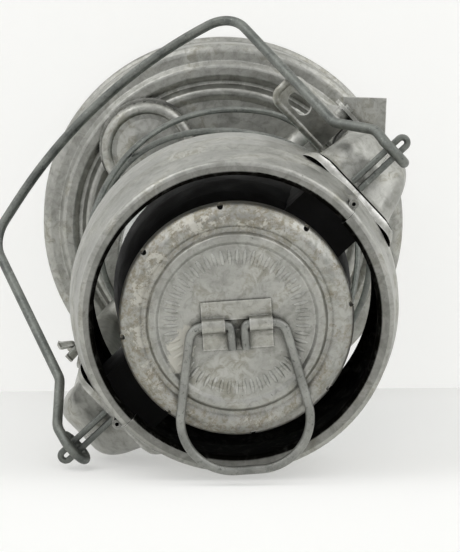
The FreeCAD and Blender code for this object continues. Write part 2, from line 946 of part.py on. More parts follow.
def eye():
    """Long wire eye at +X that the bail hangs in."""
    bend_x = eye_reach - eye_wire / 2 - eye_gap / 2
    root = crown_bulge_radius - 3.4
    half = eye_gap / 2
    return rod(
        [
            Vector(root, eye_y - half, eye_z),
            Vector(bend_x + half, eye_y - half, eye_z),
            Vector(bend_x + half, eye_y + half, eye_z),
            Vector(root, eye_y + half, eye_z),
        ],
        [half * 0.999, half * 0.999],
        eye_wire,
    )


def bail():
    """Wire handle, its ends curled round the eyes and its top leaning a little to one side."""
    curl = -(bail_curl_bore + bail_wire) / 2
    slope = math.radians(bail_arch_slope)
    corner_t = bail_length - bail_corner_back
    peak_t = corner_t + bail_corner_x * math.tan(slope)
    arch = (peak_t - bail_length) / (1 / math.cos(slope) - 1)
    half = [
        (bail_end_x, 0),
        (bail_end_x, bail_neck),
        (bail_leg_x, bail_leg_start),
        (bail_corner_x, corner_t),
    ]
    outline = [(-x, t) for x, t in half] + [(-bail_peak_shift, peak_t)] + half[::-1]
    points = [Vector(x - bail_lean * t, t, curl) for x, t in outline]
    bends = [bail_leg_bend, bail_leg_bend, bail_corner_bend]
    pieces = [rod(points, bends + [arch] + bends[::-1], bail_wire)]
    for side in (-1, 1):
        section = Part.Face(Part.Wire(Part.makeCircle(
            bail_wire / 2, Vector(side * bail_end_x, 0, curl), Vector(0, 1, 0)
        )))
        pieces.append(section.revolve(
            Vector(side * bail_end_x, 0, 0), Vector(-1, 0, 0), bail_curl_turn
        ))
    handle = fused(*pieces)
    # Drawn lying flat with Y along the legs, then swung to its rest beside the lever.
    handle.rotate(Vector(0, 0, 0), Vector(1, 0, 0), 90 + bail_rest_angle)
    handle.translate(Vector(0, eye_y, eye_z))
    return handle


def guard_ring(radius, side, diameter=guard_wire):
    """Closed guard wire round the globe, high on one side and low on the other."""
    high = guard_middle_z + guard_tilt_height
    low = guard_middle_z - guard_tilt_height
    long_half = math.hypot(radius, guard_tilt_height)
    end_radius = radius * radius / long_half
    side_radius = ((long_half - end_radius) ** 2 + radius ** 2 - end_radius ** 2) / (
        2 * (radius - end_radius)
    )
    end_centre = long_half - end_radius
    side_centre = side_radius - radius
    spread = math.atan2(side_centre, end_centre)
    pieces = []
    for way in (1, -1):
        first = Vector(way * end_centre, 0, 0)
        start = first + Vector(way * math.cos(spread), way * -math.sin(spread), 0) * end_radius
        arc_angle = math.degrees(2 * spread)
        pieces.append(swept_arc(first, start, arc_angle, diameter))
        second = Vector(0, -way * side_centre, 0)
        begin = second + Vector(
            way * math.cos(spread) * side_radius, way * math.sin(spread) * side_radius, 0
        )
        pieces.append(swept_arc(second, begin, 180 - arc_angle, diameter))
    ring = fused(*pieces)
    tilt = math.degrees(math.atan2(high - low, 2 * radius))
    ring.rotate(Vector(0, 0, 0), Vector(0, 1, 0), -tilt * side)
    ring.translate(Vector(0, 0, guard_middle_z))
    return ring


def swept_arc(centre, start, angle, diameter):
    """Part of a ring of round wire in the XY plane."""
    way = Vector(0, 0, 1).cross(start - centre)
    section = Part.Face(Part.Wire(Part.makeCircle(diameter / 2, start, way)))
    return section.revolve(centre, Vector(0, 0, 1), angle)


def guard_lug(radius, side):
    """Upright lug of the globe plate with a sleeve bent round a guard wire's low point."""
    low = plate_z
    high = guard_middle_z - guard_tilt_height
    half = lug_width / 2
    bore = guard_wire / 2 + seat_gap
    inside = radius - bore - lever_sheet
    shelf = block((plate_radius - 4.0, -half, low), (inside + lever_sheet, half, low + lever_sheet))
    upright = block((inside, -half, low), (inside + lever_sheet, half, high))
    reach = radius + bore + lever_sheet + 1
    sleeve = 2 * (bore + lever_sheet)
    near = block((inside - sleeve, -half, high - sleeve), (reach, half, high + sleeve))
    if side < 0:
        shelf, upright, near = [mirrored_x(piece) for piece in (shelf, upright, near)]
    curl = guard_ring(radius, -side, sleeve).common(near)
    return fused(shelf, upright, curl).cut(guard_ring(radius, -side, 2 * bore))


def globe_plate():
    """Perforated plate that carries the globe, with its lips and guard lugs."""
    seat = globe_foot_radius - globe_wall - body_gap
    rim = globe_foot_radius + body_gap
    flat = ring_solid(plate_radius, plate_hole_radius, plate_z, plate_z + sheet)
    inner_lip = ring_solid(seat, seat - sheet, plate_z, plate_z + plate_lip)
    outer_lip = ring_solid(rim + sheet, rim, plate_z, plate_z + plate_lip)
    hole_lip = ring_solid(plate_hole_radius + sheet, plate_hole_radius, plate_z, plate_z + plate_lip)
    holes = []
    for ring_index, radius in enumerate(perforation_rings):
        count = int(2 * math.pi * radius / perforation_pitch)
        for angle in evenly(count, ring_index * 180 / count):
            holes.append(turned(drum(perforation_radius, plate_z - 1, plate_z + 2, radius, 0), angle))
    plate = fused(flat, inner_lip, outer_lip, hole_lip)
    plate = fused(plate, guard_lug(guard_radius, 1), guard_lug(outer_guard_radius, -1))
    return plate.cut(holes)


def globe():
    """Clear glass globe, open at both ends."""
    base = globe_base_z
    belly = globe_belly_radius
    outer = [
        Vector(globe_foot_radius, base + globe_foot_height, 0),
        Vector(belly * 0.93, base + globe_height * 0.18, 0),
        Vector(belly, base + globe_height * 0.38, 0),
        Vector(belly * 0.94, base + globe_height * 0.58, 0),
        Vector(globe_top_radius * 1.2, base + globe_height * 0.82, 0),
        Vector(globe_top_radius, base + globe_height * 0.94, 0),
    ]
    inner = [point - Vector(globe_wall, 0, 0) for point in outer]
    outer_curve = Part.BSplineCurve()
    outer_curve.interpolate(outer)
    inner_curve = Part.BSplineCurve()
    inner_curve.interpolate(inner[::-1])
    bottom_out = Vector(globe_foot_radius, base, 0)
    bottom_in = bottom_out - Vector(globe_wall, 0, 0)
    top_out = Vector(globe_top_radius, globe_top_z, 0)
    top_in = top_out - Vector(globe_wall, 0, 0)
    edges = [
        Part.LineSegment(bottom_out, outer[0]).toShape(),
        outer_curve.toShape(),
        Part.LineSegment(outer[-1], top_out).toShape(),
        Part.LineSegment(top_out, top_in).toShape(),
        Part.LineSegment(top_in, inner[-1]).toShape(),
        inner_curve.toShape(),
        Part.LineSegment(inner[0], bottom_in).toShape(),
        Part.LineSegment(bottom_in, bottom_out).toShape(),
    ]
    return spun(Part.Face(Part.Wire(edges)))


def globe_seat():
    """Flanged ring that the spring presses on the globe's top."""
    lip = globe_top_radius + body_gap + sheet / 2
    return spun_sheet(
        [
            (lip, hood_seat_z - seat_lip),
            (lip, hood_seat_z + sheet / 2),
            (globe_top_radius - globe_wall - 1.0, hood_seat_z + sheet / 2),
        ],
        [0.8],
    ).fuse(spring_ledge()).removeSplitter()


def spring_ledge():
    """Outer flange of the globe seat that carries the spring."""
    inner = globe_top_radius
    outer = flue_radius + spring_wire * 2 + 1.6
    return ring_solid(outer, inner, hood_seat_z, hood_seat_z + sheet)


def hood_flue():
    """Inner flue that rises with the hood, windowed below the cap."""
    low = hood_seat_z + sheet + 0.02
    high = hood_top_z - sheet - 0.02
    tube = ring_solid(flue_radius, flue_radius - sheet, low, high)
    window = block(
        (0, -flue_radius * 0.26, high - sheet - flue_window_height),
        (flue_radius + 2, flue_radius * 0.26, high - sheet),
    )
    return tube.cut([turned(window, angle) for angle in evenly(flue_windows, 22.5)])


def hood_cap():
    """Pressed cap with its groove, bead and notched skirt."""
    flat = hood_top_z - sheet / 2
    edge = hood_radius - sheet / 2
    shell = spun_sheet(
        [
            (0, flat),
            (hood_radius * 0.665, flat),
            (hood_radius * 0.695, flat + 0.75),
            (hood_radius * 0.735, flat + 0.75),
            (hood_radius * 0.765, flat - 1.0),
            (hood_radius * 0.81, flat - 1.0),
            (hood_radius * 0.87, flat + 0.6),
            (edge, flat - 3.2),
            (edge, flat - hood_skirt),
        ],
        [0.6, 0.5, 0.5, 1.0, 1.2, 3.0, 3.0],
    )
    notches = [
        turned(drum(hood_notch_radius, flat - 6, flat + 3, hood_radius - 0.7, 0), angle)
        for angle in evenly(hood_notches, 8 - 223)
    ]
    return shell.cut(notches)


def hood_spring():
    """Spring between the fixed chimney's shoulder and the globe seat."""
    low = hood_seat_z + sheet + spring_wire / 2 + seat_gap
    high = crown_top_z - chimney_shoulder - sheet / 2 - spring_wire - body_gap - 0.6
    radius = flue_radius + spring_wire / 2 + 0.9
    return coil(radius, low, high, spring_turns, spring_wire)


def to_ring_hinge(shape):
    """Place a shape drawn with its hinge along X and the ring towards -Y."""
    shape.rotate(Vector(0, 0, 0), Vector(0, 0, 1), ring_angle + 90)
    way = math.radians(ring_angle)
    shape.translate(Vector(ring_offset * math.cos(way), ring_offset * math.sin(way), 0))
    return shape


def ring_hinge_z():
    """Height of the lift ring's hinge above the cap's flat."""
    return hood_top_z + sheet + ring_wire / 2 + body_gap


def ring_strap():
    """Hinge strap, arched over the ring's wire and windowed for its ends."""
    axis_z = ring_hinge_z()
    flat = hood_top_z + sheet / 2
    arch = ring_wire / 2 + running_gap + sheet / 2
    points = [
        (-strap_front, flat),
        (-arch, flat),
        (-arch, axis_z + arch),
        (arch, axis_z + arch),
        (arch, flat),
        (strap_back, flat),
    ]
    face = sheet_face(points, [0.5, arch * 0.999, arch * 0.999, 0.5])
    strip = stand_up(face)
    strip.rotate(Vector(0, 0, 0), Vector(0, 0, 1), 90)
    strip.translate(Vector(-strap_length / 2, 0, 0))
    strap = strip.extrude(Vector(strap_length, 0, 0))
    half = strap_window / 2
    reach = arch + sheet
    strap = strap.cut(block((-half, -reach, flat + sheet / 2), (half, reach, axis_z + 5)))
    return to_ring_hinge(strap)


def lift_ring():
    """Wire ring with its ends turned in through the strap."""
    z = ring_hinge_z()
    root = ring_root_width / 2
    foot = ring_foot_width / 2
    tail_x = (strap_window - ring_wire) / 2 - body_gap
    half = [(tail_x, -ring_tail), (tail_x, 0), (root, 0), (foot, -ring_length)]
    outline = [(-x, y) for x, y in half] + half[::-1]
    points = [Vector(x - ring_lean * y / ring_length, y, z) for x, y in outline]
    bends = [ring_wire * 0.55, ring_shoulder, ring_corner]
    return to_ring_hinge(rod(points, bends + bends[::-1], ring_wire))


def tube_band(low, high, margin, wall):
    """Solid and hollow of a band round the straight part of the -X tube."""
    foot = Vector(-tube_x, 0, low)
    rise = Vector(0, 0, high - low)
    grow = 2 * (margin + wall)
    outer = duct([foot, foot + rise], [], tube_width + grow, tube_depth + grow)
    start = foot - Vector(0, 0, 1)
    end = start + rise + Vector(0, 0, 2)
    inner = duct([start, end], [], tube_width + 2 * margin, tube_depth + 2 * margin)
    return outer, inner


def lever_bracket():
    """Strap on the -X tube, with two pin ears and a thumb rest."""
    low = lever_pivot_z - bracket_height / 2
    high = lever_pivot_z + bracket_height / 2
    outer, inner = tube_band(low, high, seat_gap, lever_sheet)
    pivot = Vector(0, lever_pivot_y, lever_pivot_z)
    back = -tube_width / 2 + 3.0
    pieces = []
    for x in ear_stations():
        start = Vector(x - lever_sheet / 2, 0, 0)
        pieces.append(block(
            (start.x, lever_pivot_y, lever_pivot_z - ear_radius),
            (start.x + lever_sheet, back, lever_pivot_z + ear_radius),
        ))
        pieces.append(Part.makeCylinder(ear_radius, lever_sheet, pivot + start, Vector(1, 0, 0)))
    half = thumb_rest_width / 2
    rest = block((0, -half, low), (thumb_rest_length, half, low + lever_sheet))
    rest.rotate(Vector(0, 0, 0), Vector(0, 0, 1), 225)
    rest.translate(Vector(-tube_x - tube_depth / 3, -tube_width / 5, 0))
    bracket = fused(outer, rest, *pieces)
    return bracket.cut([inner, lever_pin_hole(running_gap)])


def ear_stations():
    """Middle of the outer and of the inner ear along X."""
    return (-tube_x - ear_spread / 2, -tube_x + ear_spread / 2)


def lever_pin_hole(margin):
    """Hole for the lever's pin, with a margin on its radius."""
    return Part.makeCylinder(
        lever_pin / 2 + margin, 40, Vector(-90, lever_pivot_y, lever_pivot_z), Vector(1, 0, 0)
    )


def lever_shaft():
    """Pin that the lever and its crank turn on."""
    low = ear_stations()[0] - lever_sheet / 2 - 1.0
    high = crank_x() + lever_sheet / 2
    return Part.makeCylinder(
        lever_pin / 2, high - low, Vector(low, lever_pivot_y, lever_pivot_z), Vector(1, 0, 0)
    )


def crank_x():
    """Station of the crank between the bracket and the guard wire."""
    return -tube_x + tube_depth / 2 + seat_gap + lever_sheet * 1.5 + body_gap


def lever_crank():
    """Inner arm of the lever, with a finger under the guard wire."""
    x = crank_x() - lever_sheet / 2
    tip = Vector(x, lever_pivot_y + lever_arm, finger_z)
    root = Vector(x, lever_pivot_y, lever_pivot_z)
    hub = Part.makeCylinder(lever_pin / 2 + 1.6, lever_sheet, root, Vector(1, 0, 0))
    end = Part.makeCylinder(2.2, lever_sheet, tip, Vector(1, 0, 0))
    side = Vector(1, 0, 0).cross(unit(root, tip)) * 2.2
    corners = [root + side, tip + side, tip - side, root - side, root + side]
    arm = Part.Face(Part.makePolygon(corners))
    arm = arm.extrude(Vector(lever_sheet, 0, 0))
    reach = -x - guard_radius + guard_wire + 1.0
    finger = Part.makeCylinder(finger_wire / 2, reach, tip, Vector(1, 0, 0))
    crank = fused(hub, end, arm, finger)
    return crank.cut(lever_pin_hole(pin_grip_gap))


def lift_lever():
    """Pressed thumb lever: a beaded pedal with rounded corners and a slot, on a rolled hub."""
    hub_low = ear_stations()[0] + lever_sheet / 2 + body_gap
    hub_high = ear_stations()[1] - lever_sheet / 2 - body_gap
    root = Vector(pedal_shift - tube_x, lever_pivot_y, lever_pivot_z + pedal_root_rise)
    tip = Vector(root.x, lever_pivot_y - pedal_length, lever_pivot_z + pedal_rise)
    way = unit(root, tip)
    up = way.cross(Vector(1, 0, 0))
    heel = root - way * pedal_heel
    half = lever_sheet / 2
    rim = tray_line(heel, tip - way * (pedal_bead / 2), up)
    close = Part.LineSegment(rim[-1].Vertexes[-1].Point, rim[0].Vertexes[0].Point).toShape()
    floor = raised(Part.Face(Part.Wire(rim + [close])), up, -half, half)
    section = Part.Wire(Part.makeCircle(pedal_bead / 2, rim[0].Vertexes[0].Point, way))
    bead = Part.Wire(rim).makePipeShell([section], True, False)
    middle = tip - way * (pedal_bead + pedal_hole_border + pedal_hole_length / 2)
    stretch = way * (pedal_hole_length - pedal_hole_width) / 2
    hole = oval_bar(middle - stretch, middle + stretch, up, pedal_hole_width / 2, -lever_sheet, lever_sheet)
    hub = Part.makeCylinder(
        lever_pin / 2 + lever_sheet, hub_high - hub_low, Vector(hub_low, lever_pivot_y, lever_pivot_z),
        Vector(1, 0, 0)
    )
    web_low = max(hub_low, root.x - pedal_width / 2)
    web = block(
        (web_low, lever_pivot_y - half, lever_pivot_z), (hub_high, lever_pivot_y + half, root.z)
    )
    return fused(floor, bead, hub, web).cut([hole, lever_pin_hole(pin_grip_gap)])


def tray_line(heel, far, up):
    """Middle line of the pedal's bead: one side, the round-cornered tip and the other side."""
    way = unit(heel, far)
    side = up.cross(way) * (pedal_width - pedal_bead) / 2
    bend = pedal_corner - pedal_bead / 2
    return bent_path([heel + side, far + side, far - side, heel - side], [bend, bend])


def raised(face, up, low, high):
    """Plate of a flat face between two heights along up."""
    face.translate(up * low)
    return face.extrude(up * (high - low))


def oval_bar(first, second, up, radius, low, high):
    """Bar of oval plan between two heights along up."""
    way = unit(first, second)
    side = up.cross(way) * radius
    outline = Part.Wire([
        Part.LineSegment(first + side, second + side).toShape(),
        Part.Arc(second + side, second + way * radius, second - side).toShape(),
        Part.LineSegment(second - side, first - side).toShape(),
        Part.Arc(first - side, first - way * radius, first + side).toShape(),
    ])
    return raised(Part.Face(outline), up, low, high)


nodes = {
    "tank_body": tank_body(),
    "tank_base": tank_base(),
    "filler_neck": filler_neck(),
    "filler_gasket": filler_gasket(),
    "filler_cap": filler_cap(),
    "burner_collar": burner_collar(),
    "burner_body": burner_body(),
    "burner_cone": burner_cone(),
    "wick_tube": wick_tube(),
    "wick": wick(),
    "wick_spurs": wick_spurs(),
    "wick_shaft": wick_shaft(),
    "wick_knob": wick_knob(),
    "air_chamber": air_chamber(),
    "tube_left": tube_left(),
    "tube_right": tube_right(),
    "crown_front": crown_front(),
    "crown_rear": crown_rear(),
    "chimney": chimney(),
    "air_box_left": mirrored_x(air_box()),
    "air_box_right": air_box(),
    "eye_left": mirrored_x(eye()),
    "eye_right": eye(),
    "bail": bail(),
    "globe_plate": globe_plate(),
    "guard_wire_inner": guard_ring(guard_radius, -1),
    "guard_wire_outer": guard_ring(outer_guard_radius, 1),
    "globe": globe(),
    "globe_seat": globe_seat(),
    "hood_flue": hood_flue(),
    "hood_cap": hood_cap(),
    "hood_spring": hood_spring(),
    "ring_strap": ring_strap(),
    "lift_ring": lift_ring(),
    "lever_bracket": lever_bracket(),
    "lever_shaft": lever_shaft(),
    "lever_crank": lever_crank(),
    "lift_lever": lift_lever(),
}

os.makedirs("parts", exist_ok=True)
for name, shape in nodes.items():
    solids = shape.Solids
    whole = solids[0] if len(solids) == 1 else Part.makeCompound(solids)
    whole.exportStep(os.path.join("parts", name + ".step"))
    box = whole.BoundBox
    print(
        name, len(solids), whole.isValid(), round(whole.Volume, 1),
        [round(value, 1) for value in (box.XMin, box.XMax, box.YMin, box.YMax, box.ZMin, box.ZMax)],
    )
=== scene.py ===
import math
import bpy
from mathutils import Matrix, Vector


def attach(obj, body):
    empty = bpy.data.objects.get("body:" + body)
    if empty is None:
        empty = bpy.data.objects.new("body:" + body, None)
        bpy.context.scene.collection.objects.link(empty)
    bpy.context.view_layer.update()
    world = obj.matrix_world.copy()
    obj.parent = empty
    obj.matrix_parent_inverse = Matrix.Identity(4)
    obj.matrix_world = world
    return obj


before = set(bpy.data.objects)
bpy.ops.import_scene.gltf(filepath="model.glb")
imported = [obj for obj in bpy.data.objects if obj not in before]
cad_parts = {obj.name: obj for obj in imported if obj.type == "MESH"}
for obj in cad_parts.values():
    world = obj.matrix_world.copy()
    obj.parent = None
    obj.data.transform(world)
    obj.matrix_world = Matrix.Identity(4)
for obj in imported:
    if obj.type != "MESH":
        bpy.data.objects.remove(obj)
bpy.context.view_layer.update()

MM = 0.001

# Photograph's camera, as the row's axes seen from it and its lens
PHOTO_WIDTH = 460
LENS_PIXELS = 1973
SENSOR_MM = 36
NEAREST_SEEN = 0.01
CAMERA_RIGHT = Vector((-0.728, 0.6846, 0.02102))
CAMERA_UP = Vector((-0.679, -0.7166, -0.15646))
ORIGIN_SEEN = Vector((-3.218, 25.635, -828.57))

# Sizes shared with the solids, in millimetres
CAP_TOP = 250.8
WICK_CHAR = (76, 78.5)

# Ring of pressed ribs on the cap: count, ring radius, half sizes of a rib and how deep it sits
RIB_COUNT = 54
RIB_RING_RADIUS = 19.6
RIB_SIZE = (2.3, 0.62, 0.42)
RIB_SINK = 0.06

# Radii between which the cap's shoulder has lost its plating and carries a painted highlight in its pale
# flakes, and the way to the side where both are strongest
SHOULDER_BAND = (25.0, 29.0, 32.5, 35.0)
FLAKED_HIGHLIGHT_SIDE = (0.5, -0.85, 0.0)
FLAKED_HIGHLIGHT_SIDE_REACH = (-30, 18)

# Pale patch beside the strap, as round spots of x, y and radius, and how far its edge wanders
PALE_SPOTS = ((13.2, -8.0, 2.2), (17.6, -5.6, 3.6), (20.4, -3.6, 3.2))
PALE_SPOT_WANDER = 9
PALE_SPOT_EDGE = (0.6, -0.3)

# Table that the lantern leans on: radius and height of its two contacts, and its side of the lantern
TANK_CONTACT = (74.6, 4.0)
CROWN_CONTACT = (51.7, 226.0)
TABLE_ANGLE = 47.0

# Stage in metres: half sides of the floor and table, the table's middle up its slope and the floor's drop
FLOOR_REACH = 3
TABLE_REACH = (2.5, 0.75)
TABLE_MIDDLE = 0.3
FLOOR_DROP = 0.0002

# Each paper's tone, its own glow and the share of that in what is seen of it
FLOOR_PAPER = ("f8f8f6", 1.1, 0.64)
TABLE_PAPER = ("f6f6f4", 1.04, 0.4)

# Studio's light below and above the photograph, and its share straight before and behind the camera
ROOM_LEVELS = (0.82, 0.88)
ROOM_REACH = (-0.7, 0.9)
ROOM_END_SHARE = 0.92
ROOM_END_REACH = (0.35, 0.95)

# Soft boxes: the way to each from the lantern's middle, its side in metres and its watts
LANTERN_MIDDLE = Vector((0, 0, 0.13))
BOX_DISTANCE = 1.1
KEY_BOX = (Vector((-0.2, -0.95, 0.11)), 0.7, 2.6)
FILL_BOX = (Vector((-1.0, -0.06, 0.2)), 0.8, 2.2)

# Kinds of node that the materials use often
NOISE = "ShaderNodeTexNoise"
STRETCH = "ShaderNodeMapRange"
SUM = "ShaderNodeMath"
MIX = "ShaderNodeMix"
VECTOR = "ShaderNodeVectorMath"
BUMP = "ShaderNodeBump"
SURFACE = "ShaderNodeBsdfPrincipled"


def linear(code):
    """Linear colour with alpha from an sRGB hex value."""
    channels = [int(code[start:start + 2], 16) / 255 for start in (0, 2, 4)]
    curved = [c / 12.92 if c <= 0.04045 else ((c + 0.055) / 1.055) ** 2.4 for c in channels]
    return (*curved, 1.0)


def add(tree, kind, inputs=(), give=0, **settings):
    """Adds a node with its settings and gives one of its outputs. Its inputs are values or links,
    in the node's own order or by name or number."""
    made = tree.nodes.new(kind)
    for name, value in settings.items():
        setattr(made, name, value)
    for key, value in inputs.items() if isinstance(inputs, dict) else enumerate(inputs):
        if isinstance(value, bpy.types.NodeSocket):
            tree.links.new(value, made.inputs[key])
        else:
            made.inputs[key].default_value = value
    return made.outputs[give] if made.outputs else made


def blank(name):
    """New material with an empty node tree, its output's surface and the place on the piece."""
    material = bpy.data.materials.new(name)
    material.use_nodes = True
    tree = material.node_tree
    tree.nodes.clear()
    surface = add(tree, "ShaderNodeOutputMaterial").inputs["Surface"]
    place = add(tree, "ShaderNodeTexCoord", give="Object")
    return material, tree, surface, place


def radius_of(tree, place):
    """Distance from the lantern's axis, and the place with its height left out."""
    flat = add(tree, VECTOR, (place, (1.0, 1.0, 0.0)), operation="MULTIPLY")
    return add(tree, VECTOR, (flat,), "Value", operation="LENGTH"), flat


def inward_share(tree, place, normal):
    """1 where a surface faces the lantern's axis, 0 where it faces away."""
    _, flat = radius_of(tree, place)
    out = add(tree, VECTOR, (flat,), operation="NORMALIZE")
    facing = add(tree, VECTOR, (out, normal), "Value", operation="DOT_PRODUCT")
    return add(tree, STRETCH, (facing, 0.15, -0.25))


def pale_patch(tree, place, mottle):
    """1 on the bare pale patch beside the strap, whose edge wanders with the mottling."""
    wander = add(tree, SUM, (mottle, 0.5), operation="SUBTRACT")
    share = None
    for x, y, radius in PALE_SPOTS:
        middle = (x * MM, y * MM, CAP_TOP * MM)
        away = add(tree, VECTOR, (place, middle), "Value", operation="DISTANCE")
        reach = add(tree, SUM, (wander, -PALE_SPOT_WANDER * MM, away), operation="MULTIPLY_ADD")
        outer, inner = [(radius + step) * MM for step in PALE_SPOT_EDGE]
        here = add(tree, STRETCH, (reach, outer, inner))
        share = here if share is None else add(tree, SUM, (share, here), operation="MAXIMUM")
    return share


def flaked_plating_and_highlight(tree, place, mottle):
    """Shares of pale patches and of brown speckle, most on the cap's shoulder: the pale flakes are bare
    plating and also a painted highlight, pushed towards one side.
    """
    radius, _ = radius_of(tree, place)
    low, full_low, full_high, high = [value * MM for value in SHOULDER_BAND]
    rising = add(tree, STRETCH, (radius, low, full_low))
    falling = add(tree, STRETCH, (radius, high, full_high))
    band = add(tree, SUM, (rising, falling), operation="MULTIPLY")
    # Painted highlight: the pale flakes are pushed towards one side of the shoulder
    side = add(tree, VECTOR, (place, FLAKED_HIGHLIGHT_SIDE), "Value", operation="DOT_PRODUCT")
    far, near = [value * MM for value in FLAKED_HIGHLIGHT_SIDE_REACH]
    side = add(tree, STRETCH, (side, far, near, 0.0, 0.09))
    flakes = add(tree, NOISE, {
        "Vector": place, "Scale": 1 / (5.5 * MM), "Detail": 9.0, "Roughness": 0.78, "Distortion": 0.3,
    })
    flakes = add(tree, SUM, (flakes, side), operation="ADD")
    pale_flakes_and_highlight = add(tree, STRETCH, (flakes, 0.6, 0.64, 0.0, 0.8))
    pale_flakes_and_highlight = add(tree, SUM, (pale_flakes_and_highlight, band), operation="MULTIPLY")
    grains = add(tree, NOISE, {"Vector": place, "Scale": 1 / (1.3 * MM), "Detail": 6.0, "Roughness": 0.7})
    speckle = add(tree, STRETCH, (grains, 0.44, 0.6, 0.15, 1.0))
    brown = add(tree, STRETCH, (flakes, 0.47, 0.56, 0.0, 0.7))
    brown = add(tree, SUM, (brown, rising), operation="MULTIPLY")
    brown = add(tree, SUM, (brown, speckle), operation="MULTIPLY")
    patch = pale_patch(tree, place, mottle)
    return add(tree, SUM, (pale_flakes_and_highlight, patch), operation="MAXIMUM"), brown


def tinned_sheet(name, inside_soot=False, flaked_and_highlit=False, tint="9b9b96"):
    """Tin-plated steel sheet, pressed, hand dulled and a little rusted: cloudy grey with dark pits,
    painted shade in its recesses and edges rubbed bright, so its lights are soft and uneven."""
    material, tree, surface, place = blank(name)
    cloud = add(tree, NOISE, {
        "Vector": place, "Scale": 1 / (17 * MM), "Detail": 6.0, "Roughness": 0.62, "Distortion": 0.6,
    })
    mottle = add(tree, NOISE, {
        "Vector": place, "Scale": 1 / (3.4 * MM), "Detail": 7.0, "Roughness": 0.68, "Distortion": 0.8,
    })
    fine = add(tree, NOISE, {"Vector": place, "Scale": 1 / (0.55 * MM), "Detail": 4.0, "Roughness": 0.65})

    # Cloudy plating with darker and lighter mottling and an olive cast
    share = add(tree, STRETCH, (cloud, 0.36, 0.66))
    colour = add(tree, MIX, {0: share, 6: linear(tint), 7: linear("bbbbb6")}, 2, data_type="RGBA")
    share = add(tree, STRETCH, (mottle, 0.46, 0.66, 0.0, 0.65))
    colour = add(tree, MIX, {0: share, 6: colour, 7: linear("80817a")}, 2, data_type="RGBA")
    share = add(tree, STRETCH, (mottle, 0.42, 0.3, 0.0, 0.5))
    colour = add(tree, MIX, {0: share, 6: colour, 7: linear("bcbcb6")}, 2, data_type="RGBA")
    cast = add(tree, STRETCH, (cloud, 0.52, 0.62, 0.0, 0.4))
    share = add(tree, STRETCH, (mottle, 0.4, 0.55))
    share = add(tree, SUM, (cast, share), operation="MULTIPLY")
    colour = add(tree, MIX, {0: share, 6: colour, 7: linear("8a8674")}, 2, data_type="RGBA")

    # Rust pits, painted shade in the recesses (from ambient occlusion, made patchy by the mottling), and
    # edges rubbed bright
    pits = add(tree, STRETCH, (fine, 0.64, 0.72, 0.0, 0.8))
    colour = add(tree, MIX, {0: pits, 6: colour, 7: linear("3f3e39")}, 2, data_type="RGBA")
    # Painted shade: the colour darkens towards 3a3934 wherever ambient occlusion finds surfaces close by
    occlusion_shade = add(tree, "ShaderNodeAmbientOcclusion", {"Distance": 3.0 * MM}, "AO", samples=6)
    occlusion_shade = add(tree, STRETCH, (occlusion_shade, 0.85, 0.3))
    share = add(tree, STRETCH, (mottle, 0.3, 0.6, 0.5, 1.0))
    recess_shade = add(tree, SUM, (occlusion_shade, share), operation="MULTIPLY")
    colour = add(tree, MIX, {0: recess_shade, 6: colour, 7: linear("3a3934")}, 2, data_type="RGBA")
    worn = add(tree, "ShaderNodeBevel", {"Radius": 0.7 * MM}, samples=4)
    true_normal = add(tree, "ShaderNodeNewGeometry", give="Normal")
    same = add(tree, VECTOR, (worn, true_normal), "Value", operation="DOT_PRODUCT")
    same = add(tree, STRETCH, (same, 0.995, 0.88))
    share = add(tree, STRETCH, (mottle, 0.35, 0.6, 0.9, 0.15))
    share = add(tree, SUM, (same, share), operation="MULTIPLY")
    colour = add(tree, MIX, {0: share, 6: colour, 7: linear("dededa")}, 2, data_type="RGBA")

    # Matt where it is cloudy or under the painted recess shade, and slightly uneven from the press and the
    # pits
    roughness = add(tree, STRETCH, (cloud, 0.3, 0.7, 0.33, 0.47))
    dulled = add(tree, SUM, (recess_shade, 0.35), operation="MULTIPLY")
    roughness = add(tree, SUM, (roughness, dulled), operation="ADD")
    metallic = 1.0
    waves = add(tree, SUM, (cloud, 1.3), operation="MULTIPLY")
    dents = add(tree, SUM, (mottle, 0.16), operation="MULTIPLY")
    height = add(tree, SUM, (waves, dents), operation="ADD")
    holes = add(tree, SUM, (pits, 0.05), operation="MULTIPLY")
    height = add(tree, SUM, (height, holes), operation="SUBTRACT")

    if flaked_and_highlit:
        # Pale flakes: bare plating and also a painted highlight on one side of the shoulder; the brown
        # speckle is staining
        pale_flakes_and_highlight, brown = flaked_plating_and_highlight(tree, place, mottle)
        colour = add(tree, MIX, {0: brown, 6: colour, 7: linear("7b7057")}, 2, data_type="RGBA")
        colour = add(tree, MIX, {0: pale_flakes_and_highlight, 6: colour, 7: linear("c4c2b9")}, 2, data_type="RGBA")
        half_brown = add(tree, SUM, (brown, 0.5), operation="MULTIPLY")
        covered = add(tree, SUM, (pale_flakes_and_highlight, half_brown), operation="MAXIMUM")
        dulled = add(tree, SUM, (covered, 0.18), operation="MULTIPLY")
        roughness = add(tree, SUM, (roughness, dulled), operation="ADD")
        metallic = add(tree, STRETCH, (covered, 0.0, 1.0, 1.0, 0.45))
        raised = add(tree, SUM, (pale_flakes_and_highlight, 0.12), operation="MULTIPLY")
        height = add(tree, SUM, (height, raised), operation="ADD")
    if inside_soot:
        soot = inward_share(tree, place, place.node.outputs["Normal"])
        share = add(tree, STRETCH, (mottle, 0.2, 0.5, 0.85, 1.0))
        soot = add(tree, SUM, (soot, share), operation="MULTIPLY")
        colour = add(tree, MIX, {0: soot, 6: colour, 7: linear("100f0c")}, 2, data_type="RGBA")
        matt = add(tree, SUM, (soot, 0.8), operation="MULTIPLY")
        roughness = add(tree, SUM, (roughness, matt), operation="MAXIMUM")
    bump = add(tree, BUMP, {"Height": height, "Strength": 0.55, "Distance": 0.6 * MM})
    shader = add(tree, SURFACE, {
        "Base Color": colour, "Metallic": metallic, "Roughness": roughness, "Normal": bump,
    })
    tree.links.new(shader, surface)
    return material


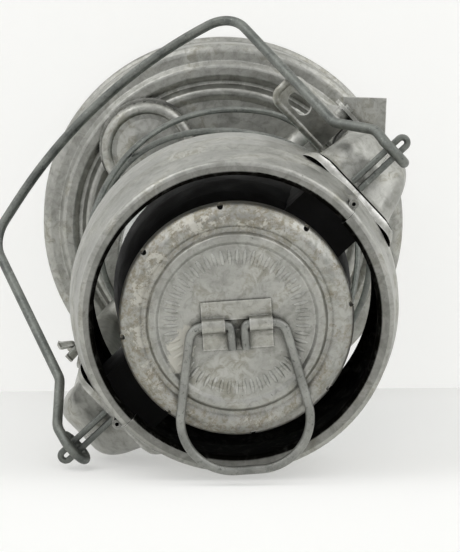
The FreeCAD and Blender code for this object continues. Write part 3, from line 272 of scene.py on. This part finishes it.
def sooty_sheet():
    """Steel sheet inside the draught, black with lamp soot: deep, matt and slightly powdery."""
    material, tree, surface, place = blank("sooty_steel_sheet")
    cloud = add(tree, NOISE, {"Vector": place, "Scale": 1 / (8 * MM), "Detail": 5.0, "Roughness": 0.6})
    fine = add(tree, NOISE, {"Vector": place, "Scale": 1 / (0.8 * MM), "Detail": 3.0, "Roughness": 0.6})
    share = add(tree, STRETCH, (cloud, 0.4, 0.75))
    colour = add(tree, MIX, {0: share, 6: linear("0f0e0e"), 7: linear("22211f")}, 2, data_type="RGBA")
    share = add(tree, STRETCH, (fine, 0.64, 0.78, 0.0, 0.3))
    colour = add(tree, MIX, {0: share, 6: colour, 7: linear("2f2d29")}, 2, data_type="RGBA")
    roughness = add(tree, STRETCH, (cloud, 0.3, 0.7, 0.6, 0.85))
    bump = add(tree, BUMP, {"Height": fine, "Strength": 0.4, "Distance": 0.3 * MM})
    shader = add(tree, SURFACE, {
        "Base Color": colour, "Metallic": 0.2, "Roughness": roughness, "Normal": bump,
    })
    tree.links.new(shader, surface)
    return material


def zinc_wire(name, shade, worn_shade):
    """Drawn steel wire with a thin zinc coat gone dull: cool grey with darker pits and rubbed spots."""
    material, tree, surface, place = blank(name)
    cloud = add(tree, NOISE, {
        "Vector": place, "Scale": 1 / (9 * MM), "Detail": 4.0, "Roughness": 0.6, "Distortion": 0.3,
    })
    pits = add(tree, NOISE, {
        "Vector": place, "Scale": 1 / (1.1 * MM), "Detail": 5.0, "Roughness": 0.7, "Distortion": 0.5,
    })
    share = add(tree, STRETCH, (cloud, 0.35, 0.65))
    colour = add(tree, MIX, {0: share, 6: linear(shade), 7: linear(worn_shade)}, 2, data_type="RGBA")
    share = add(tree, STRETCH, (pits, 0.56, 0.72, 0.0, 0.8))
    colour = add(tree, MIX, {0: share, 6: colour, 7: linear("3a3b39")}, 2, data_type="RGBA")
    share = add(tree, STRETCH, (pits, 0.42, 0.3, 0.0, 0.4))
    colour = add(tree, MIX, {0: share, 6: colour, 7: linear("b9bab6")}, 2, data_type="RGBA")
    roughness = add(tree, STRETCH, (cloud, 0.3, 0.7, 0.38, 0.55))
    bump = add(tree, BUMP, {"Height": pits, "Strength": 0.5, "Distance": 0.15 * MM})
    shader = add(tree, SURFACE, {
        "Base Color": colour, "Metallic": 0.9, "Roughness": roughness, "Normal": bump,
    })
    tree.links.new(shader, surface)
    return material


def blown_glass():
    """Clear blown soda-lime glass: thin, faintly green-grey at its edges, a little dusty."""
    material, tree, surface, place = blank("blown_soda_glass")
    dust = add(tree, NOISE, {
        "Vector": place, "Scale": 1 / (18 * MM), "Detail": 5.0, "Roughness": 0.6, "Distortion": 0.3,
    })
    roughness = add(tree, STRETCH, (dust, 0.35, 0.7, 0.02, 0.12))
    shader = add(tree, SURFACE, {
        "Base Color": linear("eef4f1"), "Roughness": roughness, "IOR": 1.5, "Transmission Weight": 1.0,
    })
    tree.links.new(shader, surface)
    return material


def old_brass():
    """Spun brass, handled and heated: brown-gold, dull in the hollows and rubbed on the edges."""
    material, tree, surface, place = blank("tarnished_brass")
    cloud = add(tree, NOISE, {
        "Vector": place, "Scale": 1 / (7 * MM), "Detail": 5.0, "Roughness": 0.6, "Distortion": 0.4,
    })
    fine = add(tree, NOISE, {"Vector": place, "Scale": 1 / (1.0 * MM), "Detail": 4.0, "Roughness": 0.6})
    share = add(tree, STRETCH, (cloud, 0.35, 0.65))
    colour = add(tree, MIX, {0: share, 6: linear("8a7040"), 7: linear("b3955a")}, 2, data_type="RGBA")
    share = add(tree, STRETCH, (fine, 0.55, 0.75, 0.0, 0.6))
    colour = add(tree, MIX, {0: share, 6: colour, 7: linear("4b3d24")}, 2, data_type="RGBA")
    roughness = add(tree, STRETCH, (cloud, 0.3, 0.7, 0.3, 0.5))
    bump = add(tree, BUMP, {"Height": fine, "Strength": 0.3, "Distance": 0.2 * MM})
    shader = add(tree, SURFACE, {
        "Base Color": colour, "Metallic": 1.0, "Roughness": roughness, "Normal": bump,
    })
    tree.links.new(shader, surface)
    return material


def pressed_cork():
    """Pressed cork granules, oily from the lamp: warm brown with dark flecks."""
    material, tree, surface, place = blank("pressed_cork")
    grains = add(tree, "ShaderNodeTexVoronoi", {"Vector": place, "Scale": 1 / (1.6 * MM)}, "Color")
    grey = add(tree, "ShaderNodeRGBToBW", {"Color": grains})
    colour = add(tree, MIX, {0: grey, 6: linear("6a4a2c"), 7: linear("b08a5c")}, 2, data_type="RGBA")
    bump = add(tree, BUMP, {"Height": grey, "Strength": 0.4, "Distance": 0.2 * MM})
    shader = add(tree, SURFACE, {"Base Color": colour, "Roughness": 0.85, "Normal": bump})
    tree.links.new(shader, surface)
    return material


def woven_wick():
    """Flat woven cotton: cream ribs along its length, charred black at the lit end. Its threads are
    drawn coarser than the real ones so that they show."""
    material, tree, surface, place = blank("woven_cotton_wick")
    parts = add(tree, "ShaderNodeSeparateXYZ", (place,)).node.outputs
    across = add(tree, SUM, (parts["X"], 2 * math.pi / (1.3 * MM)), operation="MULTIPLY")
    across = add(tree, SUM, (across,), operation="SINE")
    along = add(tree, SUM, (parts["Z"], 2 * math.pi / (0.9 * MM)), operation="MULTIPLY")
    along = add(tree, SUM, (along,), operation="SINE")
    weave = add(tree, SUM, (across, along, 1.0), operation="MULTIPLY_ADD")
    fuzz = add(tree, NOISE, {"Vector": place, "Scale": 1 / (2.0 * MM), "Detail": 4.0, "Roughness": 0.55})
    share = add(tree, STRETCH, (weave, 0.2, 1.8))
    colour = add(tree, MIX, {0: share, 6: linear("a39677"), 7: linear("e0d7bf")}, 2, data_type="RGBA")
    ragged = add(tree, SUM, (fuzz, 4 * MM), operation="MULTIPLY")
    char = add(tree, SUM, (parts["Z"], ragged), operation="ADD")
    start, full = [value * MM for value in WICK_CHAR]
    char = add(tree, STRETCH, (char, start, full))
    colour = add(tree, MIX, {0: char, 6: colour, 7: linear("0d0c0b")}, 2, data_type="RGBA")
    bump = add(tree, BUMP, {"Height": weave, "Strength": 0.6, "Distance": 0.25 * MM})
    shader = add(tree, SURFACE, {
        "Base Color": colour, "Roughness": 0.9, "Sheen Weight": 0.3, "Normal": bump,
    })
    tree.links.new(shader, surface)
    return material


def paper(name, tone, glow, share, one_sided=False):
    """Plain pale studio paper: it shows its own pale tone and keeps a soft shadow of the lantern."""
    material, tree, surface, _ = blank(name)
    lit = add(tree, "ShaderNodeBsdfDiffuse", {"Color": linear(tone), "Roughness": 1.0})
    shine = add(tree, "ShaderNodeEmission", {"Color": linear("fbfbf9"), "Strength": glow})
    path = add(tree, "ShaderNodeLightPath").node.outputs
    seen = add(tree, SUM, (path["Is Camera Ray"], path["Is Glossy Ray"]), operation="MAXIMUM")
    seen = add(tree, SUM, (seen, path["Is Transmission Ray"]), operation="MAXIMUM")
    seen = add(tree, SUM, (seen, share), operation="MULTIPLY")
    shown = add(tree, "ShaderNodeMixShader", (seen, lit, shine))
    if one_sided:
        back = add(tree, "ShaderNodeNewGeometry", give="Backfacing")
        clear = add(tree, "ShaderNodeBsdfTransparent")
        shown = add(tree, "ShaderNodeMixShader", (back, shown, clear))
    tree.links.new(shown, surface)
    return material


def plane(name, centre, across, along, material):
    """Flat sheet between four corners, its front towards across x along."""
    corners = [centre + across * a + along * b for a, b in ((-1, -1), (1, -1), (1, 1), (-1, 1))]
    mesh = bpy.data.meshes.new(name)
    mesh.from_pydata(corners, [], [(0, 1, 2, 3)])
    made = bpy.data.objects.new(name, mesh)
    bpy.context.scene.collection.objects.link(made)
    mesh.materials.append(material)
    return made


def make_camera():
    """The photograph's camera, from the row's axes as it sees them."""
    right = CAMERA_RIGHT.normalized()
    up = (CAMERA_UP - right * CAMERA_UP.dot(right)).normalized()
    back = right.cross(up)
    turn = Matrix((right, up, back))
    eye = -(turn.transposed() @ (ORIGIN_SEEN * MM))
    data = bpy.data.cameras.new("photo_camera")
    data.sensor_fit = "HORIZONTAL"
    data.sensor_width = SENSOR_MM
    data.lens = LENS_PIXELS / PHOTO_WIDTH * SENSOR_MM
    data.clip_start = NEAREST_SEEN
    camera = bpy.data.objects.new("photo_camera", data)
    bpy.context.scene.collection.objects.link(camera)
    camera.matrix_world = Matrix.Translation(eye) @ turn.transposed().to_4x4()
    bpy.context.scene.camera = camera


def make_stage():
    """Pale floor under the upright lantern, and the pale table that it leans on in the photograph.
    The table is clear from behind, so it doesn't hide the lantern in other views."""
    backdrop = paper("floor_paper", *FLOOR_PAPER)
    table_top = paper("table_paper", *TABLE_PAPER, one_sided=True)
    middle = Vector((0, 0, -FLOOR_DROP))
    floor = plane("stage_floor", middle, Vector((FLOOR_REACH, 0, 0)), Vector((0, FLOOR_REACH, 0)), backdrop)
    way = math.radians(TABLE_ANGLE)
    out = Vector((math.cos(way), math.sin(way), 0))
    low, high = [
        out * radius * MM + Vector((0, 0, height * MM)) for radius, height in (TANK_CONTACT, CROWN_CONTACT)
    ]
    rise = (high - low).normalized()
    side = Vector((0, 0, 1)).cross(out)
    wide, tall = TABLE_REACH
    table = plane("stage_table", low + rise * TABLE_MIDDLE, side * wide, rise * tall, table_top)
    if table.data.polygons[0].normal.dot(out) > 0:
        table.data.flip_normals()


def lamp(name, towards, size, power):
    """Square soft box that looks at the lantern's middle."""
    data = bpy.data.lights.new(name, "AREA")
    data.size = size
    data.energy = power
    made = bpy.data.objects.new(name, data)
    made.location = LANTERN_MIDDLE + towards.normalized() * BOX_DISTANCE
    made.rotation_euler = (LANTERN_MIDDLE - made.location).to_track_quat("-Z", "Y").to_euler()
    bpy.context.scene.collection.objects.link(made)


def make_light():
    """Even pale studio, a little brighter above the photograph than below it, with one soft box
    above the lying lantern and one at its upper right."""
    scene = bpy.context.scene
    scene.view_settings.view_transform = "Standard"
    world = bpy.data.worlds.new("soft_studio")
    scene.world = world
    world.use_nodes = True
    tree = world.node_tree
    tree.nodes.clear()
    way = add(tree, "ShaderNodeTexCoord", give="Generated")
    above = add(tree, VECTOR, (way, CAMERA_UP), "Value", operation="DOT_PRODUCT")
    level = add(tree, STRETCH, (above, *ROOM_REACH, *ROOM_LEVELS))
    ends = add(tree, "ShaderNodeSeparateXYZ", (way,), "Z")
    ends = add(tree, SUM, (ends,), operation="ABSOLUTE")
    ends = add(tree, STRETCH, (ends, *ROOM_END_REACH, 1.0, ROOM_END_SHARE))
    level = add(tree, SUM, (level, ends), operation="MULTIPLY")
    back = add(tree, "ShaderNodeBackground", {"Color": linear("ffffff"), "Strength": level})
    output = add(tree, "ShaderNodeOutputWorld")
    tree.links.new(back, output.inputs["Surface"])
    lamp("key_box", *KEY_BOX)
    lamp("fill_box", *FILL_BOX)


def pressed_ribs(material):
    """Ring of short pressed ribs on the cap's top, laid out by a node tree and made a plain mesh."""
    tree = bpy.data.node_groups.new("pressed_rib_ring", "GeometryNodeTree")
    sizes = {
        "Count": ("NodeSocketInt", RIB_COUNT),
        "Ring Radius": ("NodeSocketFloat", RIB_RING_RADIUS * MM),
        "Rib Size": ("NodeSocketVector", [value * MM for value in RIB_SIZE]),
        "Height": ("NodeSocketFloat", (CAP_TOP - RIB_SINK) * MM),
        "Finish": ("NodeSocketMaterial", material),
    }
    for label, (kind, _) in sizes.items():
        tree.interface.new_socket(label, in_out="INPUT", socket_type=kind)
    tree.interface.new_socket("Mesh", in_out="OUTPUT", socket_type="NodeSocketGeometry")
    given = add(tree, "NodeGroupInput").node.outputs
    points = add(tree, "GeometryNodeMeshCircle", {"Vertices": given["Count"], "Radius": given["Ring Radius"]})
    rib = add(tree, "GeometryNodeMeshIcoSphere", {"Radius": 1.0, "Subdivisions": 3})
    spot = add(tree, "GeometryNodeInputPosition")
    turn = add(tree, "FunctionNodeAlignRotationToVector", {"Vector": spot}, axis="X")
    ring = add(tree, "GeometryNodeInstanceOnPoints", {
        "Points": points, "Instance": rib, "Rotation": turn, "Scale": given["Rib Size"],
    })
    lift = add(tree, "ShaderNodeCombineXYZ", {"Z": given["Height"]})
    ring = add(tree, "GeometryNodeTransform", {"Geometry": ring, "Translation": lift})
    ring = add(tree, "GeometryNodeRealizeInstances", {"Geometry": ring})
    ring = add(tree, "GeometryNodeSetShadeSmooth", {"Geometry": ring})
    ring = add(tree, "GeometryNodeSetMaterial", {"Geometry": ring, "Material": given["Finish"]})
    add(tree, "NodeGroupOutput", {"Mesh": ring})
    made = bpy.data.objects.new("cap_pressed_ribs", bpy.data.meshes.new("rib_ring_seed"))
    bpy.context.scene.collection.objects.link(made)
    modifier = made.modifiers.new("ribs", "NODES")
    modifier.node_group = tree
    for item in tree.interface.items_tree:
        if item.in_out == "INPUT":
            modifier[item.identifier] = sizes[item.name][1]
    seen = made.evaluated_get(bpy.context.evaluated_depsgraph_get())
    made_mesh = bpy.data.meshes.new_from_object(seen)
    made.modifiers.remove(modifier)
    made.data = made_mesh
    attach(made, "hood")


def dress():
    """Gives each CAD node the finish of the real piece, and the cap its ribs."""
    tin = tinned_sheet("tinned_steel_sheet")
    tin_inside = tinned_sheet("tinned_steel_sheet_sooty_inside", inside_soot=True)
    # The cap's finish has pale flakes that are partly a painted highlight
    cap_tin = tinned_sheet("flaked_and_highlit_tinned_steel", flaked_and_highlit=True)
    soot = sooty_sheet()
    wire = zinc_wire("dull_zinc_wire", "5f625f", "81847f")
    bright_wire = zinc_wire("rubbed_zinc_wire", "7f807c", "a2a39e")
    brass = old_brass()
    finishes = {
        "hood_cap": cap_tin, "ring_strap": tinned_sheet("rubbed_tinned_strap", tint="a3a29a"),
        "crown_front": tin_inside, "crown_rear": tin_inside, "chimney": soot, "air_box_left": soot,
        "air_box_right": soot, "globe_seat": soot, "hood_flue": soot, "globe": blown_glass(),
        "filler_neck": brass, "burner_collar": brass, "burner_body": brass, "burner_cone": brass,
        "wick_tube": brass, "wick_spurs": brass, "filler_gasket": pressed_cork(), "wick": woven_wick(),
        "bail": wire, "eye_left": wire, "eye_right": wire, "guard_wire_inner": wire, "guard_wire_outer": wire,
        "lift_ring": bright_wire, "wick_shaft": bright_wire, "lever_shaft": bright_wire, "hood_spring": wire,
    }
    for name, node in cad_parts.items():
        material = finishes.get(name, tin)
        for slot in node.material_slots:
            slot.material = material
    pressed_ribs(cap_tin)


make_camera()
make_stage()
make_light()
dress()
